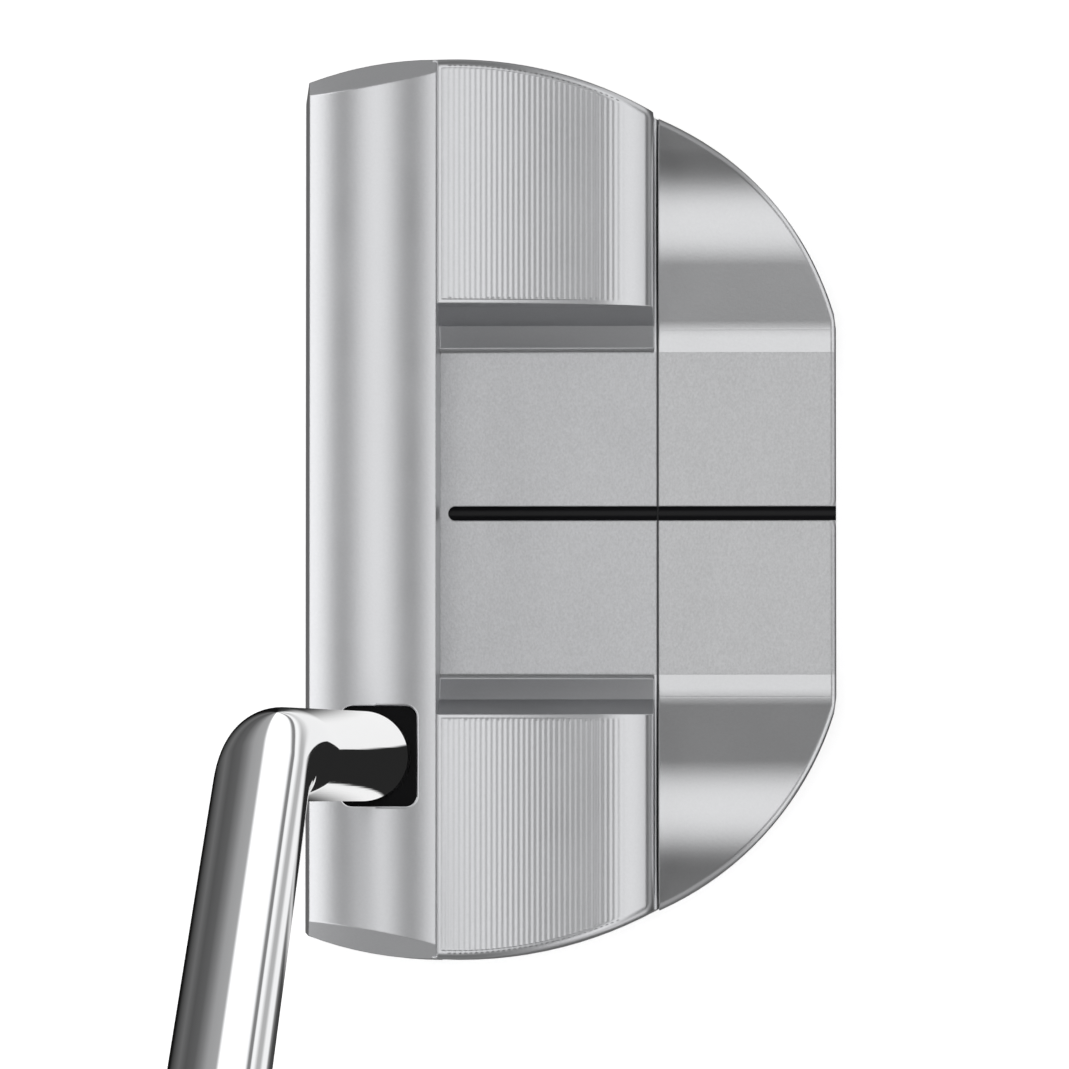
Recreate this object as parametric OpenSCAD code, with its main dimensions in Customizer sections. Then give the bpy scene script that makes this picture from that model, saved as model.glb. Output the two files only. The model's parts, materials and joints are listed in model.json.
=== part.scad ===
// Mallet putter: two-piece milled head, bent steel shaft and rubber grip.
// Right-handed club, standing at address. +X runs from the face to the back edge,
// +Y from heel to toe, +Z up. The origin is the middle of the sole, under the sight line.
// Head modules are drawn with x measured from the top edge of the face, then shifted.

/* [Head outline] */
// Heel-to-toe length of the head
head_len = 95; // [80:1:115]
// Depth of the head from the top edge of the face to the back edge
head_depth = 55.5; // [50:0.5:70]
// Depth of the face bar
bar_d = 13.3; // [12.5:0.1:16]
// Depth from the face to the joint between body and rear flange
seam_x = 36.4; // [34:0.1:42]
// Radius of the bar ends in plan
bar_r = 37.9; // [34:0.1:40]
// Radius of the wing ends in plan
wing_r = 43.9; // [41:0.1:46]
// Radius of the rear flange ends in plan
flange_r = 34.25; // [32:0.05:36]
// How much shorter the rear flange is at each end
flange_inset = 2.3; // [1.5:0.1:3.5]
// How much is taken off the two corners of the straight back edge
back_trim = 0.12; // [0.05:0.01:0.3]

/* [Head heights] */
// Height of the crown of the face bar
bar_h = 25; // [23:0.5:30]
// Radius of the crown across the bar
crown_r = 19; // [15:1:60]
// Height of the wings where they meet the bar
wing_h = 22.2; // [20:0.1:23]
// Height of the alignment floor
floor_h = 10.5; // [8.5:0.1:12]
// Height of the highest line of the rear shoulders
shoulder_h = 14; // [12.5:0.1:16]
// Loft of the face in degrees
loft = 3.5; // [0:0.5:6]
// Width of the bevel on the bar ends
end_bevel_w = 2.4; // [1:0.1:3.5]
// Drop of the bevel on the bar ends
end_bevel_h = 3.2; // [1:0.1:5]
// Bevel where the walls meet the sole
sole_bevel = 1.4; // [0.5:0.1:2]

/* [Channel] */
// Half width of the alignment floor
floor_half = 17.4; // [14:0.1:20]
// Half width of the channel at the top of its walls
channel_half = 21.7; // [19:0.1:25]
// Radius at the foot of the channel walls
foot_r = 0.9; // [0.4:0.1:1.5]

/* [Ribs] */
// Number of milled grooves on each wing
rib_count = 32; // [20:1:36]
// Distance from one groove to the next
rib_pitch = 0.57; // [0.5:0.01:0.6]
// Depth of a groove
rib_depth = 0.08; // [0.05:0.01:0.2]
// Width of the smooth rim round each wing
rim_w = 0.6; // [0.4:0.1:1.2]

/* [Rear shoulders] */
// Half width of the flat floor of the rear flange
rear_floor_half = 16.75; // [14:0.05:18]
// Width of the low sloping strip beside it
strip_w = 2.85; // [2:0.05:4]
// Rise of that strip
strip_rise = 0.3; // [0.1:0.05:0.6]
// Distance from the sight line to the highest line of a shoulder
shoulder_y = 31.3; // [30:0.1:33]
// Radius of a shoulder's crest
shoulder_r = 15; // [13:0.1:17]
// Slope of the flat stretch outside the crest, in degrees
outer_slope = 30; // [24:1:36]

/* [Sight line] */
// Width of the painted groove
line_w = 1.5; // [1:0.1:2.5]
// Depth of the painted groove
line_depth = 0.6; // [0.4:0.1:1]
// Start of the groove, from the face
line_x = 14.9; // [14.6:0.1:20]

/* [Sole tongue] */
// Length of the tongue of the rear flange under the body
tongue_len = 18; // [14:0.5:20]
// Width of the tongue
tongue_w = 46; // [36:1:50]
// Thickness of the tongue
tongue_t = 4; // [3:0.1:5]
// Gap round the tongue
tongue_gap = 0.1; // [0.05:0.01:0.2]
// Thickness of the damping gasket in the joint
gasket_t = 0.2; // [0.1:0.05:0.5]
// Thread diameter of the flange screws
screw_d = 3; // [2.5:0.1:3.5]
// Length of a flange screw under its head
screw_len = 6; // [5:0.1:7]

/* [Weights] */
// Diameter of a sole weight
weight_d = 14; // [10:0.1:15]
// Thickness of a sole weight
weight_t = 6; // [4:0.1:7]
// Distance of a weight from the sight line
weight_y = 33; // [32.5:0.1:36]
// Distance of a weight from the top edge of the face
weight_x = 19; // [18:0.1:22]

/* [Shaft socket] */
// Distance of the shaft from the top edge of the face, at the crown
socket_x = 5.7; // [5.6:0.1:6.4]
// Distance of the shaft from the sight line, at the crown
socket_y = 26.2; // [24:0.1:27.5]
// Width of the pocket from face to back, behind the shaft's centre line
pocket_back = 5.6; // [5.3:0.1:6]
// Length of the pocket from heel to toe
pocket_len = 10.6; // [10.4:0.1:12]
// Depth of the pocket under the crown
pocket_depth = 7; // [5:0.5:8]
// Radius of the pocket's corners
pocket_r = 1.2; // [0.8:0.1:2]
// Depth of the collar's top face under the crown
collar_drop = 2.2; // [1.5:0.1:4]
// Depth that the shaft is glued below the pocket
glue_depth = 11; // [9:0.5:12]
// Thickness of the glue film
glue_t = 0.15; // [0.1:0.01:0.25]

/* [Shaft] */
// Diameter of the parallel tip section
tip_d = 9.45; // [9:0.05:9.6]
// Wall of the shaft tube
shaft_wall = 0.9; // [0.6:0.05:1.2]
// Height of the bend above the sole
bend_z = 89; // [70:1:110]
// How far the bend is ahead of the top edge of the face
bend_ahead = 1.4; // [0:0.1:6]
// How far the bend is towards the heel from the socket
bend_heel = 1.3; // [0:0.1:4]
// Radius of the bend
bend_r = 60; // [45:1:90]
// Lie angle in degrees
lie = 70; // [67:0.5:74]
// Length of the shaft from the bend to its butt end
upper_len = 780; // [650:5:850]
// Length of the parallel section above the bend
parallel_len = 110; // [80:5:150]
// Diameter of the butt end
butt_d = 15.2; // [14.7:0.1:15.6]
// Length of the parallel butt section inside the grip
butt_len = 250; // [200:5:280]

/* [Grip] */
// Length of the grip
grip_len = 266; // [230:1:300]
// Width of the grip at its cap
grip_w = 27; // [25:0.5:32]
// Depth of the grip at its cap
grip_t = 30; // [26:0.5:34]
// Diameter of the grip's lower mouth
grip_mouth_d = 19.5; // [19:0.1:22]
// Thickness of the double-sided tape under the grip
tape_t = 0.2; // [0.1:0.05:0.3]
// Thickness of the end cap's rim
cap_t = 3; // [2:0.1:5]

/* [Hidden] */

// Colours
steel = [0.74, 0.75, 0.76];
alloy = [0.77, 0.78, 0.79];
chrome = [0.85, 0.86, 0.88];
ink = [0.03, 0.03, 0.035];
rubber_black = [0.08, 0.08, 0.085];

big = 200;                              // reach of cutting blocks
sole_mid = head_depth / 2;              // from the face to the origin
bar_cx = bar_d - 0.1;                   // plan centre of the bar ends
bar_cy = head_len / 2 - bar_r;
wing_cx = bar_d + 2.05;
wing_cy = head_len / 2 - wing_r;
flange_cx = head_depth - 32.9;
flange_cy = head_len / 2 - flange_inset - flange_r;
groove_floor = floor_h - line_depth;

// Wing profile: a long arc, a tighter arc and a roll down to the joint
long_r = 90;
long_cx = bar_d - 1.9;
tight_r = 20;
tight_x = bar_d + 16.7;
roll_r = 1.7;
roll_x = seam_x - 1.2;
rib_x = bar_d + 1.1;                    // first groove
long_a = asin((tight_x - long_cx) / long_r);
tight_cx = tight_x - tight_r * sin(long_a);
function long_z(x) = wing_h - long_r + sqrt(long_r * long_r - pow(x - long_cx, 2));
tight_cz = long_z(tight_x) - tight_r * cos(long_a);
roll_a = asin((roll_x - tight_cx) / tight_r);
roll_cx = roll_x - roll_r * sin(roll_a);
roll_cz = tight_cz + tight_r * cos(roll_a) - roll_r * cos(roll_a);
wing_back = roll_cx + roll_r;           // vertical back wall of the wings
function wing_z(x) = x < tight_x ? long_z(x)
                                 : tight_cz + sqrt(tight_r * tight_r - pow(x - tight_cx, 2));

// Channel walls: a foot radius, two facets and a nearly upright top
wall_mid_y = (floor_half + channel_half) / 2 + 0.35;
wall_mid_z = floor_h + 2;
wall_high_z = floor_h + 7;

// Shaft centre line
lean_x = -(socket_x + bend_ahead);
lean_run = norm([lean_x, -bend_heel, bend_z - bar_h]);
lower_dir = [lean_x, -bend_heel, bend_z - bar_h] / lean_run;
upper_dir = [0, -cos(lie), sin(lie)];
bend_at = [-bend_ahead, -socket_y - bend_heel, bend_z];
bend_a = acos(lower_dir * upper_dir);   // total turn of the bend
bend_tan = bend_r * tan(bend_a / 2);    // straight length that the bend takes up
tip_z = bar_h - pocket_depth - glue_depth;
lower_len = lean_run * (bend_z - tip_z) / (bend_z - bar_h);
bend_draw = 0.01;                       // how much the wall thins on each face in the bend
bend_lap = 0.4;                         // how far the straight stretches lap over the bend
plug_len = 6;                           // rubber plug in the tip
cap_plug = 14;                          // how far the cap's plug reaches into the shaft

screw_x = [seam_x - 5, seam_x - 13];
screw_y = tongue_w / 2 - 6;
screw_head_d = screw_d * 1.85;
screw_head_h = screw_d * 0.6;

// Shift from face coordinates to the origin on the sole
module place() translate([-sole_mid, 0, 0]) children();

// Plan shape with round ends: a middle block and a disc at each end, as a solid of height h
module plan(cx, cy, r, h) {
    for (s = [-1, 1]) translate([cx, s * cy, 0]) cylinder(h = h, r = r, $fn = 180);
    translate([cx - r, -cy, 0]) cube([2 * r, 2 * cy, h]);
}

// Same plan with a bevel w wide and b high round its top, and the sole bevel round its foot
module plan_bevelled(cx, cy, r, h, w, b) {
    sole_r = r - sole_bevel;
    for (s = [-1, 1]) translate([cx, s * cy, 0]) {
        cylinder(h = sole_bevel, r1 = sole_r, r2 = r, $fn = 180);
        translate([0, 0, sole_bevel]) cylinder(h = h - b - sole_bevel, r = r, $fn = 180);
        translate([0, 0, h - b]) cylinder(h = b, r1 = r, r2 = r - w, $fn = 180);
    }
    translate([cx - r + w, -cy, 0]) cube([2 * (r - w), 2 * cy, h]);
}

// Extrudes an x-z outline along y, centred
module along_y(len) {
    translate([0, len / 2, 0]) rotate([90, 0, 0]) linear_extrude(height = len) children();
}

// Extrudes a y-z outline along x, from x = a to x = b
module along_x(a, b) {
    translate([a, 0, 0]) rotate([90, 0, 90]) linear_extrude(height = b - a) children();
}

// Cross-section of the bar: lofted face, arched crown, upright back
module bar_outline() {
    foot_x = -bar_h * tan(loft);
    intersection() {
        polygon([[foot_x + sole_bevel, 0], [bar_d, 0], [bar_d, bar_h], [0, bar_h],
                 [foot_x + sole_bevel * tan(loft), sole_bevel]]);
        translate([bar_d / 2, bar_h - crown_r]) circle(r = crown_r, $fn = 200);
    }
}

// Cross-section of the wings, with the floor's height at the joint
module wing_outline() {
    tight_n = 8;
    roll_n = 8;
    long_n = 14;
    polygon(concat(
        [[bar_d - 1, 0], [seam_x, 0], [seam_x, floor_h], [wing_back, floor_h]],
        [for (i = [0:roll_n]) let (a = roll_a + (90 - roll_a) * (1 - i / roll_n))
            [roll_cx + roll_r * sin(a), roll_cz + roll_r * cos(a)]],
        [for (i = [1:tight_n]) let (x = roll_x + (tight_x - roll_x) * i / tight_n)
            [x, wing_z(x)]],
        [for (i = [1:long_n]) let (x = tight_x + (bar_d - 1 - tight_x) * i / long_n)
            [x, wing_z(x)]]));
}

// Row of shallow V grooves along y, cut from the wing tops
module rib_cutters() {
    half = rib_pitch * 0.42;
    along_y(head_len)
        for (i = [0:rib_count - 1]) let (x = rib_x + (i + 0.5) * rib_pitch)
            polygon([[x - half, wing_z(x - half) + 0.001], [x, wing_z(x) - rib_depth],
                     [x + half, wing_z(x + half) + 0.001], [x, wing_z(x) + 1]]);
}

// Cross-section of the channel between the wings, open at the top
module channel_outline() {
    n = 6;
    slope = atan2(wall_mid_z - floor_h, wall_mid_y - floor_half);
    tan_len = foot_r * tan(slope / 2);
    half = concat(
        [for (i = [0:n]) let (a = slope * i / n)
            [floor_half - tan_len + foot_r * sin(a), floor_h + foot_r * (1 - cos(a))]],
        [[wall_mid_y, wall_mid_z], [channel_half - 0.1, wall_high_z],
         [channel_half, wing_h], [channel_half + 0.2, wing_h + 8]]);
    polygon(concat(half, [for (i = [len(half) - 1:-1:0]) [-half[i][0], half[i][1]]]));
}

// Groove for the sight line, from x = a to x = b, with a round front end if rounded
module line_groove(a, b, z, h, rounded) {
    translate([a, -line_w / 2, z]) cube([b - a, line_w, h]);
    if (rounded) translate([a, 0, z]) cylinder(h = h, d = line_w, $fn = 48);
}

// Pocket round the shaft, as a solid of height h: square behind the shaft, round ahead of it
module pocket_shape(h) {
    side_y = pocket_len / 2 - pocket_r;
    front_x = -1.2;
    translate([socket_x, -socket_y, 0]) {
        cylinder(h = h, d = tip_d + 0.5, $fn = 96);
        for (x = [front_x, pocket_back - pocket_r], s = [-1, 1])
            translate([x, s * side_y, 0]) cylinder(h = h, r = pocket_r, $fn = 48);
        translate([front_x, -pocket_len / 2, 0]) cube([pocket_back - pocket_r - front_x, pocket_len, h]);
        translate([0, -side_y, 0]) cube([pocket_back, 2 * side_y, h]);
    }
}

// Puts a shape drawn along +z from the shaft tip onto the lower centre line
module on_lower() {
    tilt = acos(lower_dir[2]);
    turn = atan2(lower_dir[1], lower_dir[0]);
    translate(bend_at - lower_dir * lower_len) rotate([0, 0, turn]) rotate([0, tilt, 0]) children();
}

// Puts a shape drawn along +z from the bend point onto the upper centre line
module on_upper() translate(bend_at) rotate([90 - lie, 0, 0]) children();

// Pocket for one sole weight
module weight_hole(s, g = 0.05) {
    translate([weight_x, s * weight_y, -1]) cylinder(h = weight_t + 1, d = weight_d + 2 * g, $fn = 96);
}

module screw_places() {
    for (x = screw_x, s = [-1, 1]) translate([x, s * screw_y, 0]) children();
}

module tongue(g = 0) {
    translate([seam_x - tongue_len - g, -tongue_w / 2 - g, -1])
        cube([tongue_len + 2 + g, tongue_w + 2 * g, tongue_t + g + 1]);
}

module head_body() {
    color(steel) place() difference() {
        union() {
            intersection() {
                along_y(head_len + 2) bar_outline();
                plan_bevelled(bar_cx, bar_cy, bar_r, bar_h, end_bevel_w, end_bevel_h);
            }
            intersection() {
                difference() {
                    along_y(head_len + 2) wing_outline();
                    intersection() {
                        rib_cutters();
                        wing_rim();
                    }
                }
                plan_bevelled(wing_cx, wing_cy, wing_r, wing_h, 0.01, 0.01);
                translate([bar_d - 0.5, -big / 2, 0]) cube([seam_x, big, big]);
            }
        }
        along_x(bar_d, seam_x + 5) channel_outline();
        line_groove(line_x, seam_x + 5, groove_floor, 10, true);
        translate([0, 0, bar_h - pocket_depth]) pocket_shape(pocket_depth + 5);
        on_lower() translate([0, 0, -0.3])
            cylinder(h = glue_depth + 4, d = tip_d + 2 * glue_t, $fn = 96);
        for (s = [-1, 1]) weight_hole(s);
        tongue(tongue_gap);
        screw_places() translate([0, 0, tongue_t - 0.5])
            cylinder(h = screw_len - tongue_t + 2.5, d = screw_d, $fn = 48);
    }
}

// Part of each wing that carries grooves, inside a smooth rim
module wing_rim() {
    intersection() {
        plan(wing_cx, wing_cy, wing_r - rim_w, big);
        for (s = [-1, 1]) translate([0, s > 0 ? channel_half + rim_w : -big, 0])
            cube([big, big - channel_half - rim_w, big]);
    }
}

// Cross-section of the rear flange: floor, strip, rising flat, round crest and falling flat
module flange_outline() {
    crest_n = 20;
    strip_y = rear_floor_half + strip_w;
    strip_z = floor_h + strip_rise;
    crest_cz = shoulder_h - shoulder_r;
    // the rising flat leaves the strip and touches the crest's circle
    reach = norm([shoulder_y - strip_y, crest_cz - strip_z]);
    inner_slope = atan2(crest_cz - strip_z, shoulder_y - strip_y) + asin(shoulder_r / reach);
    far_y = head_len / 2;
    drop = far_y - shoulder_y - shoulder_r * sin(outer_slope);
    half = concat(
        [[rear_floor_half, floor_h], [strip_y, strip_z]],
        [for (i = [0:crest_n]) let (a = -inner_slope + (inner_slope + outer_slope) * i / crest_n)
            [shoulder_y + shoulder_r * sin(a), crest_cz + shoulder_r * cos(a)]],
        [[far_y, crest_cz + shoulder_r * cos(outer_slope) - drop * tan(outer_slope)], [far_y, 0]]);
    polygon(concat(half, [for (i = [len(half) - 1:-1:0]) [-half[i][0], half[i][1]]]));
}

module rear_flange() {
    base_x = seam_x + gasket_t;
    color(alloy) place() difference() {
        union() {
            intersection() {
                along_x(base_x, head_depth) flange_outline();
                plan_bevelled(flange_cx, flange_cy, flange_r, shoulder_h + 1, 0.01, 0.01);
            }
            difference() {
                tongue();
                translate([0, -big / 2, -big]) cube([big, big, big]);
                translate([base_x + 0.5, -big / 2, -1]) cube([big, big, big]);
            }
        }
        for (s = [-1, 1]) back_corner(s);
        line_groove(seam_x, head_depth + 5, groove_floor, 10, false);
        screw_places() {
            translate([0, 0, -1]) cylinder(h = big, d = screw_d + 0.3, $fn = 48);
            translate([0, 0, -1]) cylinder(h = screw_head_h + 1.3, d = screw_head_d + 0.4, $fn = 48);
        }
    }
}

// Small flat that takes the point off one end of the straight back edge
module back_corner(s) {
    corner_y = flange_cy + sqrt(pow(flange_r, 2) - pow(head_depth - flange_cx, 2));
    half_turn = atan2(corner_y - flange_cy, head_depth - flange_cx) / 2;
    mirror([0, s > 0 ? 0 : 1, 0]) translate([head_depth, corner_y, -1]) rotate([0, 0, half_turn])
        translate([-back_trim, -big / 2, 0]) cube([big, big, shoulder_h + 3]);
}

module damping_gasket() {
    foot_z = tongue_t + tongue_gap;
    color(ink) place() difference() {
        intersection() {
            translate([seam_x, -big / 2, foot_z]) cube([gasket_t, big, floor_h - 0.1 - foot_z]);
            plan(flange_cx, flange_cy, flange_r - 0.15, big);
        }
        line_groove(seam_x - 1, seam_x + 1, groove_floor - 0.1, 10, false);
    }
}

module flange_screws() {
    color(chrome) place() screw_places() difference() {
        translate([0, 0, 0.3]) {
            cylinder(h = screw_head_h, d = screw_head_d, $fn = 48);
            cylinder(h = screw_len, d = screw_d - 0.02, $fn = 48);
        }
        translate([0, 0, -0.5]) cylinder(h = screw_head_h * 0.6 + 0.8, d = screw_d * 0.7, $fn = 6);
    }
}

// Screw-in sole weight with two blind holes for a pin spanner
module sole_weight(s) {
    color(chrome) place() translate([weight_x, s * weight_y, 0]) difference() {
        translate([0, 0, 0.2]) cylinder(h = weight_t - 0.2, d = weight_d, $fn = 96);
        for (t = [-1, 1]) translate([t * weight_d * 0.28, 0, -1]) cylinder(h = 3.2, d = 1.8, $fn = 32);
        translate([0, 0, -1]) cylinder(h = 1.6, d = weight_d * 0.3, $fn = 48);
    }
}

module toe_weight() sole_weight(1);

module heel_weight() sole_weight(-1);

// Paint in the groove, a little below the floor
module line_paint(a, b, rounded) {
    color(ink) place() line_groove(a, b, groove_floor, line_depth * 0.7, rounded);
}

module sight_line_front() line_paint(line_x, seam_x, true);

module sight_line_rear() line_paint(seam_x + gasket_t, head_depth, false);

module shaft_collar() {
    floor_z = bar_h - pocket_depth;
    color(ink) place() difference() {
        translate([0, 0, floor_z]) pocket_shape(pocket_depth - collar_drop);
        on_lower() cylinder(h = lower_len, d = tip_d, $fn = 96);
    }
}

module shaft_bond() {
    color([0.75, 0.7, 0.5]) place() on_lower() difference() {
        cylinder(h = glue_depth - 0.3, d = tip_d + 2 * glue_t, $fn = 96);
        translate([0, 0, -1]) cylinder(h = glue_depth + 2, d = tip_d, $fn = 96);
    }
}

module tip_plug() {
    color(rubber_black) place() on_lower() cylinder(h = plug_len, d = tip_d - 2 * shaft_wall, $fn = 64);
}

// Ring of the bent stretch, where the wall draws in by bend_draw on both faces
module bend_ring() {
    difference() {
        circle(r = tip_d / 2 - bend_draw, $fn = 96);
        circle(r = tip_d / 2 - shaft_wall + bend_draw, $fn = 96);
    }
}

// Straight or tapered tube along +z
module tube(h, d_foot, d_top) {
    difference() {
        cylinder(h = h, d1 = d_foot, d2 = d_top, $fn = 96);
        cylinder(h = h, d1 = d_foot - 2 * shaft_wall, d2 = d_top - 2 * shaft_wall, $fn = 96);
    }
}

// Bent stretch of tube, turning from the lower centre line to the upper one
module bend_elbow() {
    side = cross(lower_dir, upper_dir) / norm(cross(lower_dir, upper_dir));
    inward = cross(side, lower_dir);
    start = bend_at - lower_dir * bend_tan;
    // columns: away from the bend centre, along the lower shaft, and the hinge line
    m = [[-inward[0], lower_dir[0], side[0], start[0] + inward[0] * bend_r],
         [-inward[1], lower_dir[1], side[1], start[1] + inward[1] * bend_r],
         [-inward[2], lower_dir[2], side[2], start[2] + inward[2] * bend_r],
         [0, 0, 0, 1]];
    multmatrix(m) rotate_extrude(angle = bend_a, $fn = 180) translate([bend_r, 0]) bend_ring();
}

module shaft() {
    taper_len = upper_len - butt_len - parallel_len;
    color(chrome) place() {
        on_lower() tube(lower_len - bend_tan + bend_lap, tip_d, tip_d);
        bend_elbow();
        on_upper() {
            translate([0, 0, bend_tan - bend_lap]) tube(parallel_len - bend_tan + bend_lap, tip_d, tip_d);
            translate([0, 0, parallel_len]) tube(taper_len, tip_d, butt_d);
            translate([0, 0, parallel_len + taper_len]) tube(butt_len, butt_d, butt_d);
        }
    }
}

module grip_tape() {
    color([0.85, 0.83, 0.76]) place() on_upper() translate([0, 0, upper_len - butt_len + 4]) difference() {
        cylinder(h = butt_len - 4, d = butt_d + 2 * tape_t, $fn = 96);
        translate([0, 0, -1]) cylinder(h = butt_len, d = butt_d, $fn = 96);
    }
}

// One slice of the grip: round back, flat top for the thumbs, facing away from the player
module grip_slice(w, t) {
    r = w * 0.36;
    linear_extrude(height = 0.01) {
        translate([0, w / 2 - t / 2]) circle(d = w, $fn = 32);
        for (s = [-1, 1]) translate([s * (w / 2 - r), t / 2 - r]) circle(r = r, $fn = 32);
    }
}

module grip() {
    top = upper_len + 1;
    foot = top - grip_len;
    color(rubber_black) place() on_upper() difference() {
        union() {
            hull() {
                translate([0, 0, foot]) cylinder(h = 0.01, d = grip_mouth_d, $fn = 32);
                translate([0, 0, foot + grip_len * 0.25]) grip_slice(grip_w * 0.8, grip_t * 0.76);
            }
            hull() {
                translate([0, 0, foot + grip_len * 0.25]) grip_slice(grip_w * 0.8, grip_t * 0.76);
                translate([0, 0, foot + grip_len * 0.7]) grip_slice(grip_w * 0.92, grip_t * 0.9);
            }
            hull() {
                translate([0, 0, foot + grip_len * 0.7]) grip_slice(grip_w * 0.92, grip_t * 0.9);
                translate([0, 0, top - 0.01]) grip_slice(grip_w, grip_t);
            }
        }
        translate([0, 0, foot - 1]) cylinder(h = grip_len + 3, d = butt_d + 2 * tape_t, $fn = 96);
    }
}

module grip_cap() {
    color(rubber_black) place() on_upper() translate([0, 0, upper_len + 1]) difference() {
        union() {
            hull() {
                grip_slice(grip_w, grip_t);
                translate([0, 0, cap_t - 0.01]) grip_slice(grip_w - 3, grip_t - 3);
            }
            translate([0, 0, -1]) cylinder(h = 2, d = butt_d - 0.1, $fn = 64);
            translate([0, 0, -cap_plug]) cylinder(h = cap_plug + 1, d = butt_d - 2 * shaft_wall - 0.2, $fn = 64);
        }
        translate([0, 0, -cap_plug - 1]) cylinder(h = cap_plug + cap_t + 2, d = 1.6, $fn = 32);
    }
}

head_body();
rear_flange();
damping_gasket();
flange_screws();
toe_weight();
heel_weight();
sight_line_front();
sight_line_rear();
shaft_collar();
shaft_bond();
tip_plug();
shaft();
grip_tape();
grip();
grip_cap();
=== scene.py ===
"""Mallet putter: finishes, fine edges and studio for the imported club."""

import json
import math

import bmesh
import bpy
from bpy.props import FloatProperty, FloatVectorProperty, IntProperty, PointerProperty
from mathutils import Matrix, Vector


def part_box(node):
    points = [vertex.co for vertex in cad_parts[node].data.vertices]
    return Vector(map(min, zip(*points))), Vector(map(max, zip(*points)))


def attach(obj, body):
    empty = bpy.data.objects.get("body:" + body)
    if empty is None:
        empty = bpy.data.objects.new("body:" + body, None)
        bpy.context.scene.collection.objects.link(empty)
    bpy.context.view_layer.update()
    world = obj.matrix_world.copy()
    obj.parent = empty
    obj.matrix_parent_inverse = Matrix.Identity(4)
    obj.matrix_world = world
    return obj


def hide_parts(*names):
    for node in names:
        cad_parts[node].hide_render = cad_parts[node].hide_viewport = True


bl_info = {
    "name": "Mallet putter",
    "version": (1, 0, 0),
    "blender": (4, 5, 0),
    "location": "View3D > Sidebar > Putter",
    "description": "Builds the visible pieces of a mallet putter round its packed model",
    "category": "Object",
}

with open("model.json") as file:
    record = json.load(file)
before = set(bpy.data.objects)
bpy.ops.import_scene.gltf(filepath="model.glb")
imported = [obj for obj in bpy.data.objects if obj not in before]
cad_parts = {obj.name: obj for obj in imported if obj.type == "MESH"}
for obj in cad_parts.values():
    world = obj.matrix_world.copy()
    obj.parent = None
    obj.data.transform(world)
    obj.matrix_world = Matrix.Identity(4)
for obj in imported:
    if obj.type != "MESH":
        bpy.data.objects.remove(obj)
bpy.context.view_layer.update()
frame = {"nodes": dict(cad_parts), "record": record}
MM = 0.001

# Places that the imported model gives, in metres
CROWN_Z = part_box("head_body")[1].z
BACK_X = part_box("rear_flange")[1].x
GRIP_AXIS = Vector(frame["record"]["mounts"][1]["axis"])
GRIP_POINT = Vector(frame["record"]["mounts"][1]["pos_m"])

# Shaft centre line, from the top edge of the face and the crown of the bar
FACE_TOP_X = -BACK_X
SOCKET_POINT = Vector((FACE_TOP_X + 5.7 * MM, -26.2 * MM, CROWN_Z))
BEND_POINT = Vector((FACE_TOP_X - 1.4 * MM, -27.5 * MM, 89 * MM))
TIP_DEPTH = 18 * MM
LOWER_LENGTH = (BEND_POINT - SOCKET_POINT).length * (BEND_POINT.z - CROWN_Z + TIP_DEPTH) / (
    BEND_POINT.z - CROWN_Z)
PARALLEL_LENGTH = 110 * MM
BUTT_LENGTH = 250 * MM
TAPER_LENGTH = 780 * MM - BUTT_LENGTH - PARALLEL_LENGTH
CARD_HEIGHT = CROWN_Z + 0.5 * MM
GRIP_START = 515 * MM

# Head sizes in millimetres: depth is behind the top edge of the face, width is from the sight line
HEAD_DEPTH = 55.5
BAR_DEPTH = 13.35
WING_TOP = 16.8
FLOOR_HALF = 17.2
FLOOR_HEIGHT = 10.5
BAR_CENTRE = (13.2, 9.6)
WING_CENTRE, WING_RADIUS = (15.35, 3.6), 43.9
FLANGE_CENTRE, FLANGE_RADIUS = (22.6, 10.95), 34.25
RIB_PITCH = 0.57
FIRST_RIB = 14.4
POCKET_MIDDLE = 7.3
POCKET_CORNER = 1.2
LINE_WIDTH = 1.5

# Brightness of the reflector card round its fan, as (part of a full turn, level)
CARD_STREAKS = (
    (0.0, 0.015), (0.12, 0.06), (0.15, 0.2), (0.17, 0.8), (0.21, 0.8), (0.235, 0.4),
    (0.262, 0.4), (0.29, 0.85), (0.308, 0.85), (0.316, 0.2), (0.334, 0.2), (0.35, 0.9),
    (0.37, 1.0), (0.51, 1.0), (0.525, 0.34), (0.577, 0.30), (0.617, 0.18), (0.659, 0.1),
    (0.72, 0.08), (0.78, 0.125), (0.87, 0.04), (0.9, 0.006), (1.0, 0.006),
)

# Centres of the crests, as (depth, height) or (width, height)
CROWN_CREST = (6.65, 6.0)
WING_CREST = (11.4, -67.8)
WING_FALL = (25.867, 0.689)
WING_HEEL = (34.407, 16.874)
SHOULDER_CREST = (31.3, -1.0)


# ---------------------------------------------------------------- shader maths


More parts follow.
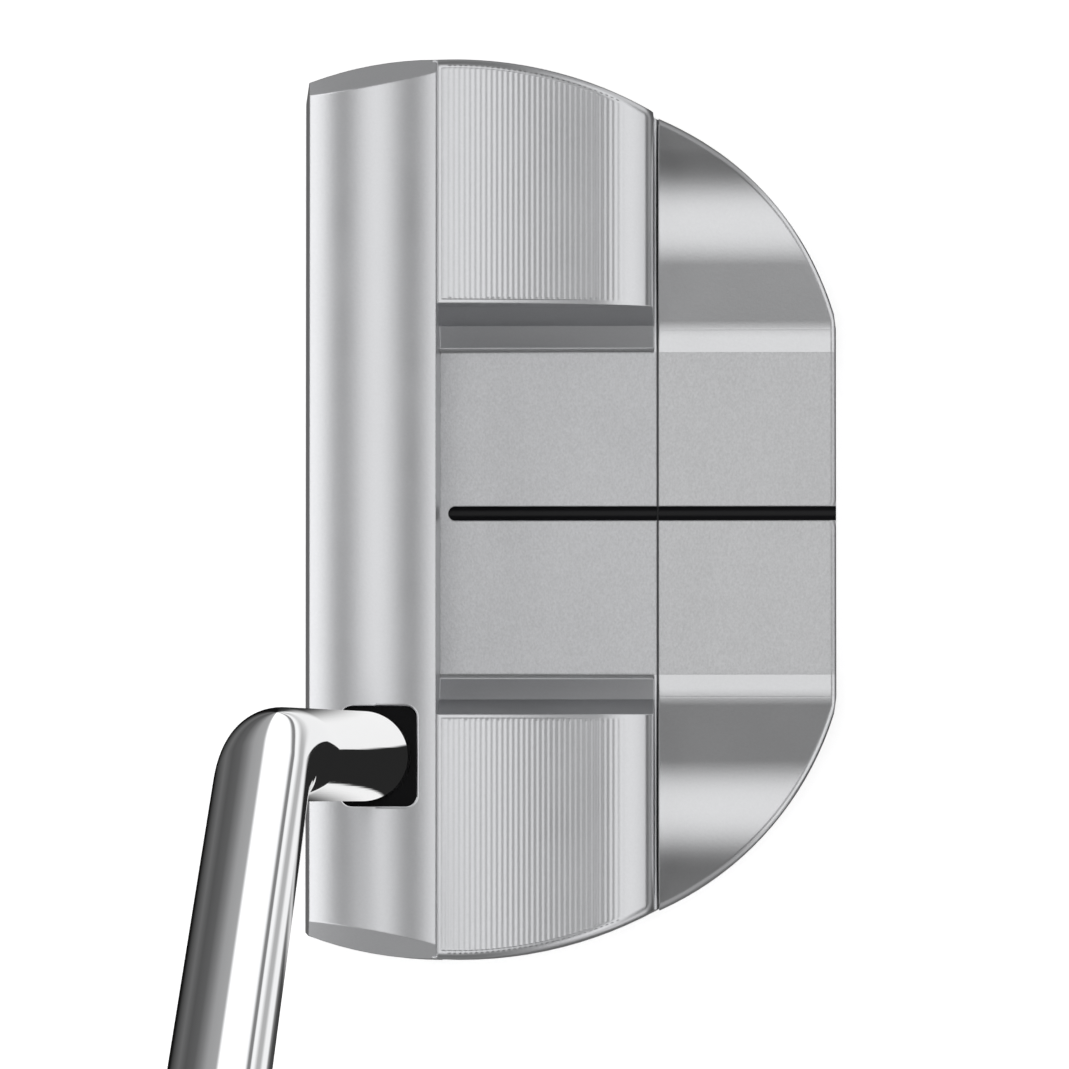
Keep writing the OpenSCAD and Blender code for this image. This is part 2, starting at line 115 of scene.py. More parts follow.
class Socket:
    """A shader socket that can be used in Python expressions."""

    def __init__(self, shader, link):
        self.shader = shader
        self.link = link

    def _math(self, operation, *others):
        return self.shader.add("ShaderNodeMath", {"operation": operation}, [self, *others])

    def __add__(self, other):
        return self._math("ADD", other)

    def __radd__(self, other):
        return self._math("ADD", other)

    def __sub__(self, other):
        return self._math("SUBTRACT", other)

    def __rsub__(self, other):
        flipped = self._math("MULTIPLY", -1.0)
        return flipped._math("ADD", other)

    def __mul__(self, other):
        return self._math("MULTIPLY", other)

    def __rmul__(self, other):
        return self._math("MULTIPLY", other)

    def __truediv__(self, other):
        return self._math("DIVIDE", other)

    def __abs__(self):
        return self._math("ABSOLUTE")

    def root(self):
        return self._math("SQRT")

    def sine(self):
        return self._math("SINE")

    def least(self, other):
        return self._math("MINIMUM", other)

    def most(self, other):
        return self._math("MAXIMUM", other)

    def over(self, limit):
        return self._math("GREATER_THAN", limit)

    def under(self, limit):
        return self._math("LESS_THAN", limit)

    def ramp(self, low, high):
        """0 below low, 1 above high, smooth between; low may be the larger."""
        return self.shader.add(
            "ShaderNodeMapRange",
            {"interpolation_type": "SMOOTHSTEP", "clamp": True},
            {"Value": self, "From Min": low, "From Max": high, "To Min": 0.0, "To Max": 1.0},
        )


class Shader:
    """One node tree, with a short way to add nodes to it."""

    def __init__(self, tree):
        self.tree = tree
        tree.nodes.clear()

    def add(self, kind, settings=None, inputs=None, output=0):
        node = self.tree.nodes.new(kind)
        for name, value in (settings or {}).items():
            if name == "stops":
                self._set_stops(node.color_ramp, value)
            else:
                setattr(node, name, value)
        pairs = inputs.items() if isinstance(inputs, dict) else enumerate(inputs or [])
        for key, value in pairs:
            if isinstance(value, Socket):
                self.tree.links.new(value.link, node.inputs[key])
            elif value is not None:
                node.inputs[key].default_value = value
        if output is None:
            return node
        return Socket(self, node.outputs[output])

    def _set_stops(self, ramp, stops):
        while len(ramp.elements) > 1:
            ramp.elements.remove(ramp.elements[-1])
        ramp.elements[0].position, ramp.elements[0].color = stops[0]
        for place, colour in stops[1:]:
            ramp.elements.new(place).color = colour

    def place(self):
        """Object coordinates, in metres."""
        return self.add("ShaderNodeTexCoord", {}, {}, "Object")

    def parts(self, vector):
        """The x, y and z of a vector."""
        node = self.add("ShaderNodeSeparateXYZ", {}, [vector], None)
        return [Socket(self, out) for out in node.outputs]

    def angle(self, opposite, adjacent):
        """Angle of a direction, in degrees."""
        radians = self.add("ShaderNodeMath", {"operation": "ARCTAN2"}, [opposite, adjacent])
        return radians * (180.0 / math.pi)

    def scaled(self, vector, scale):
        return self.add("ShaderNodeMapping", {}, {"Vector": vector, "Scale": scale})

    def noise(self, vector, scale, detail=3.0, roughness=0.55):
        inputs = {"Vector": vector, "Scale": scale, "Detail": detail, "Roughness": roughness}
        return self.add("ShaderNodeTexNoise", {"noise_dimensions": "3D"}, inputs)

    def mix(self, factor, first, second):
        """A blend of two colours."""
        node = self.add("ShaderNodeMix", {"data_type": "RGBA"}, {}, None)
        for key, value in ((0, factor), (6, first), (7, second)):
            if isinstance(value, Socket):
                self.tree.links.new(value.link, node.inputs[key])
            else:
                node.inputs[key].default_value = value
        return Socket(self, node.outputs[2])

    def bump(self, height, strength, distance, normal=None):
        inputs = {"Height": height, "Strength": strength, "Distance": distance}
        if normal is not None:
            inputs["Normal"] = normal
        return self.add("ShaderNodeBump", {}, inputs)


def grey(value, alpha=1.0):
    return (value, value, value, alpha)


def surface(name):
    """A new material and its emptied node tree."""
    material = bpy.data.materials.new(name)
    material.use_nodes = True
    shader = Shader(material.node_tree)
    return material, shader


def finish_surface(shader, **sockets):
    """Adds the Principled BSDF and the output. Socket names use _ for a space."""
    inputs = {name.replace("_", " "): value for name, value in sockets.items()}
    bsdf = shader.add("ShaderNodeBsdfPrincipled", {}, inputs, "BSDF")
    shader.add("ShaderNodeOutputMaterial", {}, {"Surface": bsdf}, None)


# ---------------------------------------------------------------- materials


def from_face(s, place):
    """Depth behind the top edge of the face, distance from the sight line and height, in
    millimetres."""
    x, y, z = s.parts(place)
    return (x - FACE_TOP_X) / MM, abs(y / MM), z / MM


def inside_arc(depth, width, centre, radius):
    """How far a point lies inside a rounded end, in millimetres."""
    across = depth - centre[0]
    along = width - centre[1]
    return radius - (across * across + along * along).root()


def rolled_edge(inside, width, drop):
    """Height of an edge that rolls off by drop over width, in millimetres."""
    near = (1.0 - (inside / width)).most(0.0).least(1.0)
    return near * near * (-drop)


def wing_relief(depth, width, height):
    """Fine ribs on the wings inside a rim, and the wings' rolled ends, in millimetres."""
    end = inside_arc(depth, width, WING_CENTRE, WING_RADIUS)
    wing = depth.over(13.4) * height.over(17.0)
    field = end.ramp(0.8, 0.98) * width.ramp(22.05, 22.2) * depth.ramp(13.75, 13.9)
    wave = ((depth - FIRST_RIB) * (2 * math.pi / RIB_PITCH) + math.pi / 2).sine()
    ribs = wave * depth.ramp(33.6, 31.6) * 0.0064
    rim = rolled_edge(end, 0.8, 0.32)
    return (ribs * field - field * depth.ramp(33.5, 27.0) * 0.04 + rim) * wing


def pocket_lip(depth, y):
    """Rolled edge round the back of the shaft's pocket, in millimetres."""
    past_x = (abs(depth - POCKET_MIDDLE) - 2.8).most(0.0)
    past_y = (abs(y / MM - SOCKET_POINT.y / MM) - 4.1).most(0.0)
    outside = (past_x * past_x + past_y * past_y).root() - POCKET_CORNER
    return rolled_edge(outside.most(0.0), 0.3, 0.09) * depth.over(7.0) * depth.under(12.5)


def body_relief(s, place):
    """Heights of the front body's fine relief, in millimetres."""
    depth, width, height = from_face(s, place)
    x, y, z = s.parts(place)
    lip = pocket_lip(depth, y) * width.over(19.0)
    return lip + wing_relief(depth, width, height)


def flange_relief(s, place):
    """Rolled rim of the rear flange and the soft feet of its strips, in millimetres."""
    depth, width, height = from_face(s, place)
    end = inside_arc(depth, width, FLANGE_CENTRE, FLANGE_RADIUS)
    back = HEAD_DEPTH - depth
    foot = (0.5 - abs(width - 16.75)).most(0.0)
    step = (0.9 - abs(width - 19.6)).most(0.0)
    blend = foot * foot * 0.052 + step * step * 0.066
    return (rolled_edge(end.least(back), 0.65, 0.26) + blend) * height.over(8.0)


def alignment_floor(s, place):
    """1 on the two level floors beside the sight line, 0 elsewhere."""
    depth, width, height = from_face(s, place)
    level = height.under(FLOOR_HEIGHT + 0.06) * height.over(FLOOR_HEIGHT - 0.1)
    return width.under(FLOOR_HALF) * level


def shades(colour, low, high):
    """Two shades of a colour."""
    return [(*[min(1.0, c * scale) for c in colour], 1) for scale in (low, high)]


def blasted_metal(name, colour, roughness, grain, edge, relief=None):
    """Fine bead-blasted metal: tiny pits, faint cloudiness, edges rounded a little."""
    material, s = surface(name)
    place = s.place()
    coarse = alignment_floor(s, place)
    pits = s.noise(place, 3400.0, 2.0, 0.6)
    clouds = s.noise(place, 140.0, 3.0, 0.55)
    speckle = (pits - 0.5) * grain + (clouds - 0.5) * 0.6 + 0.5
    satin = s.mix(speckle, *shades(colour, 0.955, 1.045))
    fine = s.noise(s.scaled(place, (1.0, 0.7, 1.0)), 5200.0, 1.0, 0.5)
    matt = s.mix((fine - 0.5) * (1.6 * grain) + 0.5, *shades(colour, 0.74, 0.90))
    tone = s.mix(coarse, satin, matt)
    rough = roughness + (clouds - 0.5) * 0.05 + coarse * 0.08
    height = ((pits - 0.5) * 0.006 + (fine - 0.5) * coarse * 0.016) * grain
    if relief:
        height = height + relief(s, place)
    rounded = s.add("ShaderNodeBevel", {"samples": 8}, {"Radius": edge})
    normal = s.bump(height * MM, 1.0, 1.0, rounded)
    finish_surface(s, Base_Color=tone, Metallic=1.0, Roughness=rough, Normal=normal)
    return material


def chrome_plate(name, colour, roughness):
    """Bright plate with the faintest long polish marks."""
    material, s = surface(name)
    place = s.place()
    haze = s.noise(place, 60.0, 3.0, 0.5)
    marks = s.noise(s.scaled(place, (1.0, 1.0, 0.02)), 3000.0, 2.0, 0.5)
    rough = roughness + (haze - 0.5) * 0.015 + (marks - 0.5) * 0.01
    finish_surface(s, Base_Color=(*colour, 1), Metallic=1.0, Roughness=rough)
    return material


def glossy_paint(name, colour, roughness, width):
    """Thick black paint that has sunk in the middle of a groove of this width, in millimetres."""
    material, s = surface(name)
    place = s.place()
    x, y, z = s.parts(place)
    across = y / MM
    ripple = s.noise(place, 700.0, 2.0, 0.5)
    height = across * across * (0.75 / width) + ripple * 0.004
    normal = s.bump(height * MM, 1.0, 1.0)
    finish_surface(s, Base_Color=(*colour, 1), Roughness=roughness + ripple * 0.06,
                   Normal=normal, Specular_IOR_Level=0.14)
    return material


def moulded_plastic(name, colour, roughness, specular=0.5):
    """Moulded plastic or rubber with a fine skin."""
    material, s = surface(name)
    grain = s.noise(s.place(), 2500.0, 2.0, 0.5)
    normal = s.bump(grain, 0.2, 0.00004)
    finish_surface(s, Base_Color=(*colour, 1), Roughness=roughness + (grain - 0.5) * 0.12,
                   Normal=normal, Specular_IOR_Level=specular)
    return material


def grip_rubber(name, colour, roughness, depth):
    """Rubber with a moulded skin: ribbed flat top in a frame, criss-cross on the round back, and
    three rings at the mouth."""
    material, s = surface(name)
    place = s.place()
    x, y, z = s.parts(place)
    across = (x - BEND_POINT.x) / MM
    aside, up = (y - BEND_POINT.y) / MM, (z - BEND_POINT.z) / MM
    along = aside * GRIP_AXIS.y + up * GRIP_AXIS.z - GRIP_START / MM
    front = aside * GRIP_AXIS.z - up * GRIP_AXIS.y
    half_panel = along * 0.011 + 5.6
    ends = along.ramp(24.0, 25.0) * along.ramp(252.0, 251.0)
    panel = front.over(4.0) * (half_panel - abs(across)).ramp(0.0, 0.35) * ends
    framed = front.over(4.0) * (half_panel + 0.7 - abs(across)).ramp(0.0, 0.35) * ends
    frame_line = framed - panel
    ribs = (along * (2 * math.pi / 2.4)).sine() * panel
    slant = 2 * math.pi / 4.2
    crossed = ((along + across) * slant).sine() * ((along - across) * slant).sine()
    crossed = crossed * front.under(3.5) * ends
    mouth = along.ramp(16.0, 15.5) * along.ramp(3.0, 3.5)
    rings = (along * (2 * math.pi / 3.6)).sine().most(0.2) * mouth
    height = (ribs * 0.22 - frame_line * 0.45 + crossed * 0.3 - rings * 0.5) * depth
    skin = s.noise(place, 2600.0, 2.0, 0.55)
    normal = s.bump((height + (skin - 0.5) * 0.02) * MM, 1.0, 1.0)
    worn = s.noise(place, 45.0, 3.0, 0.5)
    tone = s.mix(worn, *shades(colour, 0.85, 1.15))
    rough = roughness + (skin - 0.5) * 0.12 + (worn - 0.5) * 0.08
    finish_surface(s, Base_Color=tone, Roughness=rough, Normal=normal)
    return material


def assign(piece, material):
    piece.data.materials.clear()
    piece.data.materials.append(material)


# ---------------------------------------------------------------- shape helpers


def merged_copy(node):
    """A bmesh of a CAD node with its triangles joined and its flats made whole."""
    mesh = bmesh.new()
    mesh.from_mesh(frame["nodes"][node].data)
    bmesh.ops.remove_doubles(mesh, verts=mesh.verts, dist=0.002 * MM)
    bmesh.ops.dissolve_limit(
        mesh, angle_limit=math.radians(0.4), verts=mesh.verts, edges=mesh.edges)
    return mesh


def bevel_edges(mesh, edges, width, segments=2):
    bmesh.ops.bevel(
        mesh,
        geom=list(edges),
        offset=width,
        offset_type="OFFSET",
        segments=segments,
        profile=0.5,
        affect="EDGES",
        clamp_overlap=True,
        material=-1,
        miter_outer="SHARP",
    )


def sharp_edges(mesh, limit_deg, keep):
    """Convex edges that turn more than limit_deg and whose middle passes keep."""
    chosen = []
    for edge in mesh.edges:
        if len(edge.link_faces) != 2 or not edge.is_convex:
            continue
        middle = (edge.verts[0].co + edge.verts[1].co) / 2
        if math.degrees(edge.calc_face_angle(0.0)) > limit_deg and keep(middle, edge):
            chosen.append(edge)
    return chosen


def follow_surface(data, rule):
    """Gives every face corner the normal of the true surface, where rule knows it, and its face's
    own normal on large flats."""
    smooth = [corner.vector.copy() for corner in data.corner_normals]
    for face in data.polygons:
        flat = face.area > 6 * MM * MM
        for corner in face.loop_indices:
            known = rule(face.normal, data.vertices[data.loops[corner].vertex_index].co)
            if known is not None:
                smooth[corner] = known.normalized()
            elif flat:
                smooth[corner] = face.normal.copy()
    data.normals_split_custom_set(smooth)


def crest(depth, height, centre):
    """Outward direction on a crest that runs from heel to toe."""
    return Vector((depth - centre[0], 0, height - centre[1]))


def end_wall(depth, width, side, centre):
    """Outward direction on an upright rounded end."""
    return Vector((depth - centre[0], side * (width - centre[1]), 0))


def body_normal(normal, point):
    """Normal of the front body's curved surfaces: crown, bar ends, wing tops and wing ends."""
    depth, height = (point.x - FACE_TOP_X) / MM, point.z / MM
    width, side = abs(point.y / MM), math.copysign(1.0, point.y)
    on_bar, on_wing = depth < BAR_DEPTH, depth > BAR_DEPTH
    upward = normal.z > 0.3 and height > 13.0
    if upward and abs(normal.y) < 0.12:
        if on_bar and normal.x < 0.45:
            return crest(depth, height, CROWN_CREST)
        if on_wing and depth < 30.0:
            return crest(depth, height, WING_CREST)
        if on_wing and depth < 35.2:
            return crest(depth, height, WING_FALL)
    if depth > 35.15 and height > WING_TOP and normal.x > 0.1 and abs(normal.y) < 0.12:
        return crest(depth, height, WING_HEEL)
    if upward and on_bar and height > 19.0 and width > 35.0 and 0.5 < normal.z < 0.7:
        out = end_wall(depth, width, side, BAR_CENTRE).normalized() * 0.8
        return Vector((out.x, out.y, 0.6))
    if abs(normal.z) < 0.05 and width > 24.0 and abs(normal.y) > 0.2 and height > 2.0:
        return end_wall(depth, width, side, WING_CENTRE if on_wing else BAR_CENTRE)
    return None


def flange_normal(normal, point):
    """Normal of the rear flange's crests and round ends."""
    depth, height = (point.x - FACE_TOP_X) / MM, point.z / MM
    width, side = abs(point.y / MM), math.copysign(1.0, point.y)
    if normal.z > 0.5 and abs(normal.x) < 0.1 and 26.2 < width < 38.7:
        return Vector((0, side * (width - SHOULDER_CREST[0]), height - SHOULDER_CREST[1]))
    upright = abs(normal.z) < 0.05 and abs(normal.y) > 0.15
    if upright and depth < HEAD_DEPTH - 0.3 and width > 17.5 and height > 2.0:
        return end_wall(depth, width, side, FLANGE_CENTRE)
    return None


def piece_from(mesh, name, smooth_deg, slot, *nodes, rule=None):
    """Turns a bmesh into an object on the club's one body."""
    data = bpy.data.meshes.new(name)
    mesh.to_mesh(data)
    mesh.free()
    data.shade_smooth()
    data.set_sharp_from_angle(angle=math.radians(smooth_deg))
    if rule:
        follow_surface(data, rule)
    piece = bpy.data.objects.new(name, data)
    bpy.context.scene.collection.objects.link(piece)
    if nodes:
        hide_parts(*nodes)
    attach(piece, "root")
    return piece


def pull(mesh, edges, offset):
    """Extrudes a ring of edges by offset and gives the new ring's vertices and edges."""
    made = bmesh.ops.extrude_edge_only(mesh, edges=edges)["geom"]
    verts = [item for item in made if isinstance(item, bmesh.types.BMVert)]
    bmesh.ops.translate(mesh, verts=verts, vec=offset)
    edges = [item for item in made if isinstance(item, bmesh.types.BMEdge)]
    return verts, [edge for edge in edges if edge.is_boundary]


# ---------------------------------------------------------------- settings


class HeadSettings(bpy.types.PropertyGroup):
    """Finish of the two head pieces"""

    body_colour: FloatVectorProperty(
        name="Body colour", description="Colour of the front body", subtype="COLOR", size=3,
        default=(0.655, 0.66, 0.675), min=0, max=1)
    flange_colour: FloatVectorProperty(
        name="Flange colour", description="Colour of the rear flange", subtype="COLOR", size=3,
        default=(0.66, 0.664, 0.675), min=0, max=1)
    roughness: FloatProperty(
        name="Roughness", description="Roughness of the blasted metal", default=0.3, min=0, max=1)
    grain: FloatProperty(
        name="Grain", description="Strength of the blasted grain", default=1.0, min=0, max=3)
    edge_width: FloatProperty(
        name="Edge width", description="Width of the small bevels", default=0.22 * MM,
        min=0, max=1 * MM, unit="LENGTH")


class ShaftSettings(bpy.types.PropertyGroup):
    """Shape and finish of the shaft"""

    tip_diameter: FloatProperty(
        name="Tip diameter", description="Diameter of the parallel lower part", default=9.45 * MM,
        min=8 * MM, max=11 * MM, unit="LENGTH")
    butt_diameter: FloatProperty(
        name="Butt diameter", description="Diameter under the grip", default=15.2 * MM,
        min=12 * MM, max=17 * MM, unit="LENGTH")
    wall: FloatProperty(
        name="Wall", description="Wall of the tube", default=0.9 * MM, min=0.4 * MM, max=2 * MM,
        unit="LENGTH")
    bend_radius: FloatProperty(
        name="Bend radius", description="Radius of the bend", default=60 * MM, min=30 * MM,
        max=120 * MM, unit="LENGTH")
    sides: IntProperty(
        name="Sides", description="Sides round the tube", default=96, min=24, max=192)
    colour: FloatVectorProperty(
        name="Chrome colour", description="Colour of the plate", subtype="COLOR", size=3,
        default=(0.88, 0.885, 0.9), min=0, max=1)
    roughness: FloatProperty(
        name="Roughness", description="Roughness of the plate", default=0.035, min=0, max=1)


class GripSettings(bpy.types.PropertyGroup):
    """Finish of the grip and its cap"""

    colour: FloatVectorProperty(
        name="Rubber colour", description="Colour of the rubber", subtype="COLOR", size=3,
        default=(0.022, 0.022, 0.023), min=0, max=1)
    roughness: FloatProperty(
        name="Roughness", description="Roughness of the rubber", default=0.55, min=0, max=1)
    pattern_depth: FloatProperty(
        name="Pattern depth", description="Strength of the moulded pattern", default=1.0, min=0,
        max=2)
    cap_edge: FloatProperty(
        name="Cap edge", description="Width of the cap's rounded edge", default=0.6 * MM,
        min=0.1 * MM, max=1 * MM, unit="LENGTH")


class StageSettings(bpy.types.PropertyGroup):
    """Floor, light and camera"""

    floor_size: FloatProperty(
        name="Floor size", description="Side of the floor", default=40.0, min=4, max=80,
        unit="LENGTH")
    lens: FloatProperty(
        name="Lens", description="Focal length", default=346.0, min=20, max=600, unit="CAMERA")
    light: FloatProperty(
        name="Light", description="Strength of the studio light", default=1.0, min=0, max=5)


# ---------------------------------------------------------------- stage


def studio_light(world, strength):
    """Broad overhead panel, two long side panels, upright panels round the horizon with dark gaps
    between, and pale to the eye."""
    world.use_nodes = True
    s = Shader(world.node_tree)
    x, y, z = s.parts(s.add("ShaderNodeTexCoord", {}, {}, "Generated"))
    lean_x = s.angle(x, z)
    lean_y = s.angle(y, z)
    width = abs(lean_x)
    length = abs(lean_y)
    centre = width.ramp(22.0, 4.0) * length.ramp(43.0, 14.0)
    sides = width.ramp(26.0, 36.0) * width.ramp(66.0, 52.0) * length.ramp(75.0, 40.0)
    sides = sides * (1.12 + lean_x.under(0.0) * 0.35)
    ends = length.ramp(64.0, 78.0) * z.ramp(-0.75, -0.2) * 0.34
    turn = abs(s.angle(y, x))
    near_level = z.ramp(-0.4, -0.15) * z.ramp(0.7, 0.45)
    front = turn.ramp(112.0, 120.0) * turn.ramp(158.0, 146.0) * near_level * 0.85
    back = turn.ramp(28.0, 36.0) * turn.ramp(62.0, 54.0) * near_level * 0.5
    level = 0.12 + centre * 1.2 + sides + ends + front + back
    studio = s.add("ShaderNodeBackground", {}, {"Color": grey(1.0), "Strength": level * strength})
    pale = s.add("ShaderNodeBackground", {}, {"Color": grey(0.97), "Strength": 1.0})
    eye = s.add("ShaderNodeLightPath", {}, {}, "Is Camera Ray")
    both = s.add("ShaderNodeMixShader", {}, [eye, studio, pale])
    s.add("ShaderNodeOutputWorld", {}, {"Surface": both}, None)


def flat_panel(name, size, height):
    """A level square panel that isn't part of the club."""
    mesh = bmesh.new()
    level = Matrix.Translation((0, 0, height))
    bmesh.ops.create_grid(mesh, x_segments=1, y_segments=1, size=size / 2, matrix=level)
    data = bpy.data.meshes.new(name)
    mesh.to_mesh(data)
    mesh.free()
    panel = bpy.data.objects.new(name, data)
    bpy.context.scene.collection.objects.link(panel)
    return panel


def card_light():
    """Glow of a card that only reflections see, from above: streaks that fan out from the line of
    the upper shaft, a white stretch behind the socket and a dark patch beside it."""
    material, s = surface("reflector_glow")
    x, y, z = s.parts(s.place())
    fall = (BEND_POINT.z - CARD_HEIGHT) / GRIP_AXIS.z
    fan = BEND_POINT - GRIP_AXIS * fall
    across = x - fan.x
    along = y - fan.y
    turn = s.angle(along, across)
    turn = (turn + 98.6) + (turn + 98.6).under(0.0) * 360.0
    stops = [(place, grey(level)) for place, level in CARD_STREAKS]
    streaks = s.add("ShaderNodeValToRGB", {"stops": stops}, [turn / 360.0])
    aside = (x - SOCKET_POINT.x) / MM
    down = (y - SOCKET_POINT.y) / MM
    apart = (aside * aside + down * down).root()
    behind = apart.ramp(26.0, 16.0) * aside.ramp(-6.0, 1.0)
    above = (down - aside * 0.68).ramp(-1.7, -2.1)
    below = (aside - down * 0.286).ramp(3.1, 3.5)
    patch = apart.ramp(20.0, 15.0) * above * below
    level = s.mix(behind, streaks * 1.2, grey(0.92))
    level = s.mix(patch, level, grey(0.02))
    glow = s.add("ShaderNodeEmission", {}, {"Color": level, "Strength": 1.0})
    clear = s.add("ShaderNodeBsdfTransparent")
    upper_side = s.add("ShaderNodeNewGeometry", {}, {}, "Backfacing")
    both = s.add("ShaderNodeMixShader", {}, [upper_side, glow, clear])
    s.add("ShaderNodeOutputMaterial", {}, {"Surface": both}, None)
    return material


class PUTTER_OT_stage(bpy.types.Operator):
    """Makes the floor, the light and the camera"""

    bl_idname = "putter.stage"
    bl_label = "Stage"

    def execute(self, context):
        settings = context.scene.putter_stage
        world = bpy.data.worlds.new("studio")
        context.scene.world = world
        studio_light(world, settings.light)
        context.scene.view_settings.view_transform = "Standard"

        floor = flat_panel("floor", settings.floor_size, 0.0)
        material, s = surface("pale_floor")
        finish_surface(s, Base_Color=grey(0.9), Roughness=0.9, Emission_Color=grey(1.0),
                       Emission_Strength=0.55)
        assign(floor, material)
        floor.visible_glossy = False
        card = flat_panel("reflector_card", 2.0, CARD_HEIGHT)
        card.visible_camera = False
        card.visible_diffuse = False
        card.visible_shadow = False
        assign(card, card_light())

        camera_data = bpy.data.cameras.new("camera")
        camera_data.lens = settings.lens
        camera_data.sensor_width = 36.0
        camera_data.clip_start = 0.05
        camera_data.clip_end = 50.0
        camera = bpy.data.objects.new("camera", camera_data)
        context.scene.collection.objects.link(camera)
        aim = Vector((FACE_TOP_X + 23.7 * MM, -2.9 * MM, 25 * MM))
        eye = Vector((FACE_TOP_X + 48.5 * MM, -51.9 * MM, 1104 * MM))
        look = (aim - eye).normalized()
        side = look.cross(Vector((0, 1, 0))).normalized()
        up = side.cross(look)
        turned = Matrix((side, up, -look)).transposed().to_4x4()
        camera.matrix_world = Matrix.Translation(eye) @ turned
        context.scene.camera = camera
        return {"FINISHED"}


# ---------------------------------------------------------------- pieces


class PUTTER_OT_head_body(bpy.types.Operator):
    """Makes the front body with its bar, ribbed wings and channel"""

    bl_idname = "putter.head_body"
    bl_label = "Head body"

    def execute(self, context):
        settings = context.scene.putter_head
        piece = piece_from(merged_copy("head_body"), "head_body_milled", 24, "body_alloy",
                           "head_body", rule=body_normal)
        assign(piece, blasted_metal("blasted_alloy", settings.body_colour, settings.roughness,
                                    settings.grain, settings.edge_width, body_relief))
        return {"FINISHED"}


class PUTTER_OT_rear_flange(bpy.types.Operator):
    """Makes the rear flange with its shoulders"""

    bl_idname = "putter.rear_flange"
    bl_label = "Rear flange"

    def execute(self, context):
        settings = context.scene.putter_head
        piece = piece_from(merged_copy("rear_flange"), "rear_flange_milled", 24, "flange_steel",
                           "rear_flange", rule=flange_normal)
        assign(piece, blasted_metal("blasted_steel", settings.flange_colour, settings.roughness,
                                    settings.grain, settings.edge_width, flange_relief))
        return {"FINISHED"}


class PUTTER_OT_trim(bpy.types.Operator):
    """Finishes the sight line, the gasket, the collar and the hidden glue, tape and plug"""

    bl_idname = "putter.trim"
    bl_label = "Sight line and trim"

    def execute(self, context):
        nodes = frame["nodes"]
        paint = glossy_paint("line_black", (0.006, 0.006, 0.007), 0.16, LINE_WIDTH)
        assign(nodes["sight_line_front"], paint)
        assign(nodes["sight_line_rear"], paint)
        moulded = (
            ("damping_gasket", "gasket_rubber", (0.09, 0.09, 0.095), 0.6, 0.5),
            ("shaft_collar", "collar_black", (0.004, 0.004, 0.005), 0.22, 0.06),
            ("shaft_bond", "cured_epoxy", (0.5, 0.42, 0.25), 0.4, 0.5),
            ("tip_plug", "plug_rubber", (0.03, 0.03, 0.03), 0.8, 0.5),
            ("grip_tape", "crepe_tape", (0.6, 0.57, 0.46), 0.9, 0.5),
        )
        for node, name, colour, roughness, specular in moulded:
            assign(nodes[node], moulded_plastic(name, colour, roughness, specular))
        return {"FINISHED"}


class PUTTER_OT_fasteners(bpy.types.Operator):
    """Finishes the sole weights and the flange screws"""

    bl_idname = "putter.fasteners"
    bl_label = "Weights and screws"

    def execute(self, context):
        nodes = frame["nodes"]
        turned = blasted_metal("turned_steel", (0.5, 0.5, 0.51), 0.25, 0.4, 0.15 * MM)
        for node in ("toe_weight", "heel_weight", "flange_screws"):
            assign(nodes[node], turned)
        return {"FINISHED"}


class PUTTER_OT_shaft(bpy.types.Operator):
    """Makes the bent shaft: straight foot, bend, parallel stretch, taper and butt"""

    bl_idname = "putter.shaft"
    bl_label = "Shaft"

    def execute(self, context):
        settings = context.scene.putter_shaft
        mesh = bmesh.new()
        lower = (BEND_POINT - SOCKET_POINT).normalized()
        turn = lower.angle(GRIP_AXIS)
        hinge = lower.cross(GRIP_AXIS).normalized()
        used = settings.bend_radius * math.tan(turn / 2)
        start = BEND_POINT - lower * used
        tip = BEND_POINT - lower * LOWER_LENGTH
        tip_frame = Matrix.Translation(tip) @ lower.to_track_quat("Z", "X").to_matrix().to_4x4()
        bmesh.ops.create_circle(
            mesh, cap_ends=False, segments=settings.sides, radius=settings.tip_diameter / 2,
            matrix=tip_frame)
        verts, ring = pull(mesh, mesh.edges[:], start - tip)
        centre = start + hinge.cross(lower) * settings.bend_radius
        bent = bmesh.ops.spin(
            mesh, geom=ring, cent=centre, axis=hinge, angle=turn, steps=28, use_merge=False)
        ring = [item for item in bent["geom_last"] if isinstance(item, bmesh.types.BMEdge)]
        verts, ring = pull(mesh, ring, GRIP_AXIS * (PARALLEL_LENGTH - used))
        verts, ring = pull(mesh, ring, GRIP_AXIS * TAPER_LENGTH)
        middle = BEND_POINT + GRIP_AXIS * (PARALLEL_LENGTH + TAPER_LENGTH)
        flare = settings.butt_diameter / settings.tip_diameter
        bmesh.ops.scale(
            mesh, verts=verts, vec=(flare, flare, flare), space=Matrix.Translation(-middle))
        pull(mesh, ring, GRIP_AXIS * BUTT_LENGTH)
        bmesh.ops.recalc_face_normals(mesh, faces=mesh.faces)
        piece = piece_from(mesh, "shaft_tube", 50, "shaft_chrome", "shaft")
        wall = piece.modifiers.new("wall", "SOLIDIFY")
        wall.thickness = settings.wall
        wall.offset = -1
        assign(piece, chrome_plate("shaft_chrome", settings.colour, settings.roughness))
        return {"FINISHED"}


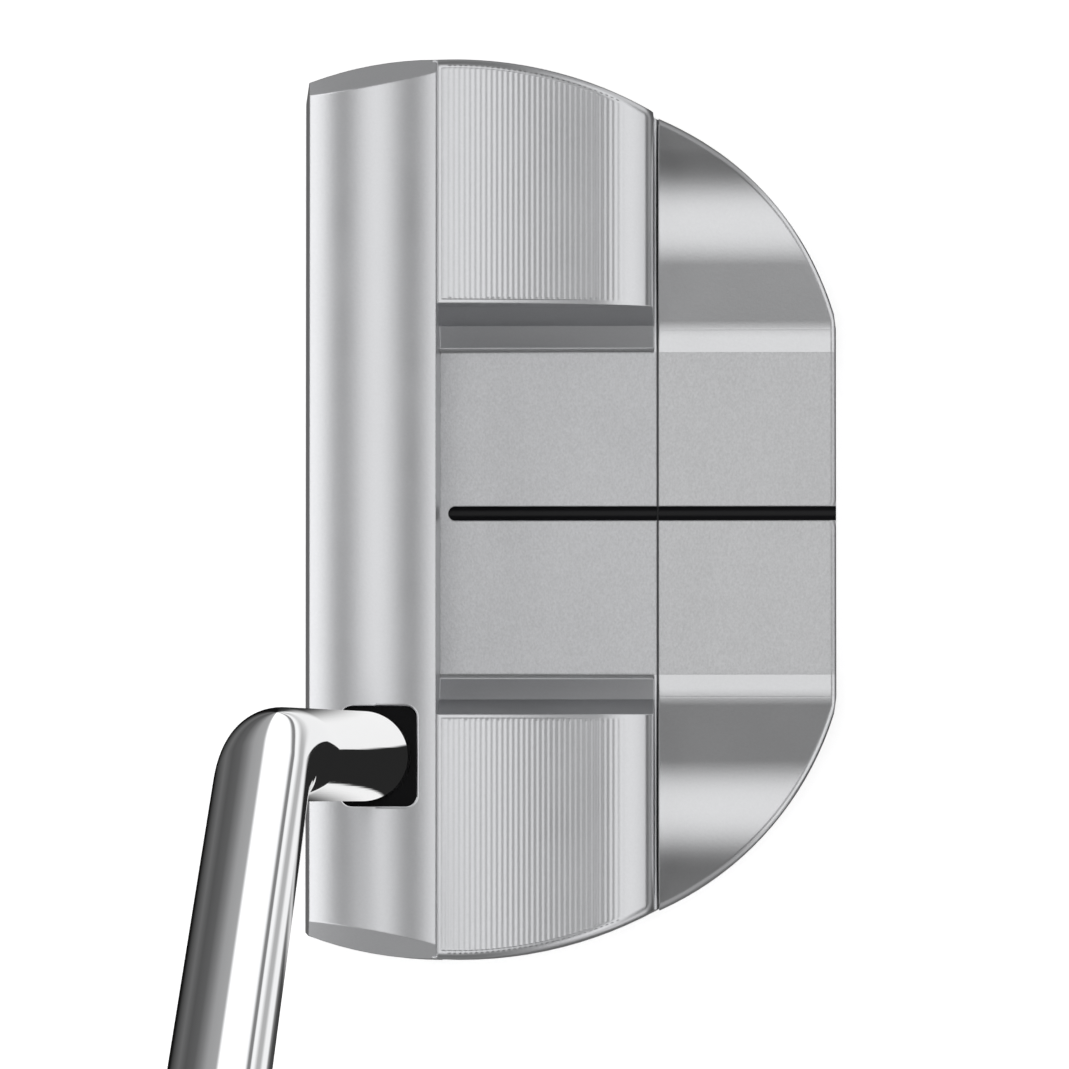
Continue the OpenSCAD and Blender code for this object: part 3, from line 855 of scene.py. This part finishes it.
class PUTTER_OT_grip(bpy.types.Operator):
    """Makes the moulded grip and its cap"""

    bl_idname = "putter.grip"
    bl_label = "Grip"

    def execute(self, context):
        settings = context.scene.putter_grip
        rubber = grip_rubber("grip_rubber", settings.colour, settings.roughness,
                             settings.pattern_depth)
        piece = piece_from(merged_copy("grip"), "grip_moulded", 42, "grip_rubber", "grip")
        assign(piece, rubber)
        mesh = merged_copy("grip_cap")

        def rim(middle, edge):
            return (middle - GRIP_POINT).dot(GRIP_AXIS) > 0.05

        bevel_edges(mesh, sharp_edges(mesh, 50, rim), settings.cap_edge, 3)
        piece = piece_from(mesh, "grip_cap_moulded", 42, "cap_rubber", "grip_cap")
        assign(piece, moulded_plastic("cap_rubber", settings.colour, settings.roughness))
        return {"FINISHED"}


STEPS = (
    PUTTER_OT_stage,
    PUTTER_OT_head_body,
    PUTTER_OT_rear_flange,
    PUTTER_OT_trim,
    PUTTER_OT_fasteners,
    PUTTER_OT_shaft,
    PUTTER_OT_grip,
)


class PUTTER_PT_sidebar(bpy.types.Panel):
    """Lists the club's settings and steps"""

    bl_label = "Putter"
    bl_space_type = "VIEW_3D"
    bl_region_type = "UI"
    bl_category = "Putter"

    def draw(self, context):
        layout = self.layout
        scene = context.scene
        for group in (scene.putter_head, scene.putter_shaft, scene.putter_grip, scene.putter_stage):
            for name in group.__annotations__:
                layout.prop(group, name)
        for step in STEPS:
            layout.operator(step.bl_idname)


CLASSES = (HeadSettings, ShaftSettings, GripSettings, StageSettings, *STEPS, PUTTER_PT_sidebar)


def register():
    for cls in CLASSES:
        bpy.utils.register_class(cls)
    bpy.types.Scene.putter_head = PointerProperty(type=HeadSettings)
    bpy.types.Scene.putter_shaft = PointerProperty(type=ShaftSettings)
    bpy.types.Scene.putter_grip = PointerProperty(type=GripSettings)
    bpy.types.Scene.putter_stage = PointerProperty(type=StageSettings)


def unregister():
    del bpy.types.Scene.putter_stage
    del bpy.types.Scene.putter_grip
    del bpy.types.Scene.putter_shaft
    del bpy.types.Scene.putter_head
    for cls in reversed(CLASSES):
        bpy.utils.unregister_class(cls)


def main():
    register()
    for step in STEPS:
        group, name = step.bl_idname.split(".")
        getattr(getattr(bpy.ops, group), name)()


if __name__ == "__main__":
    main()
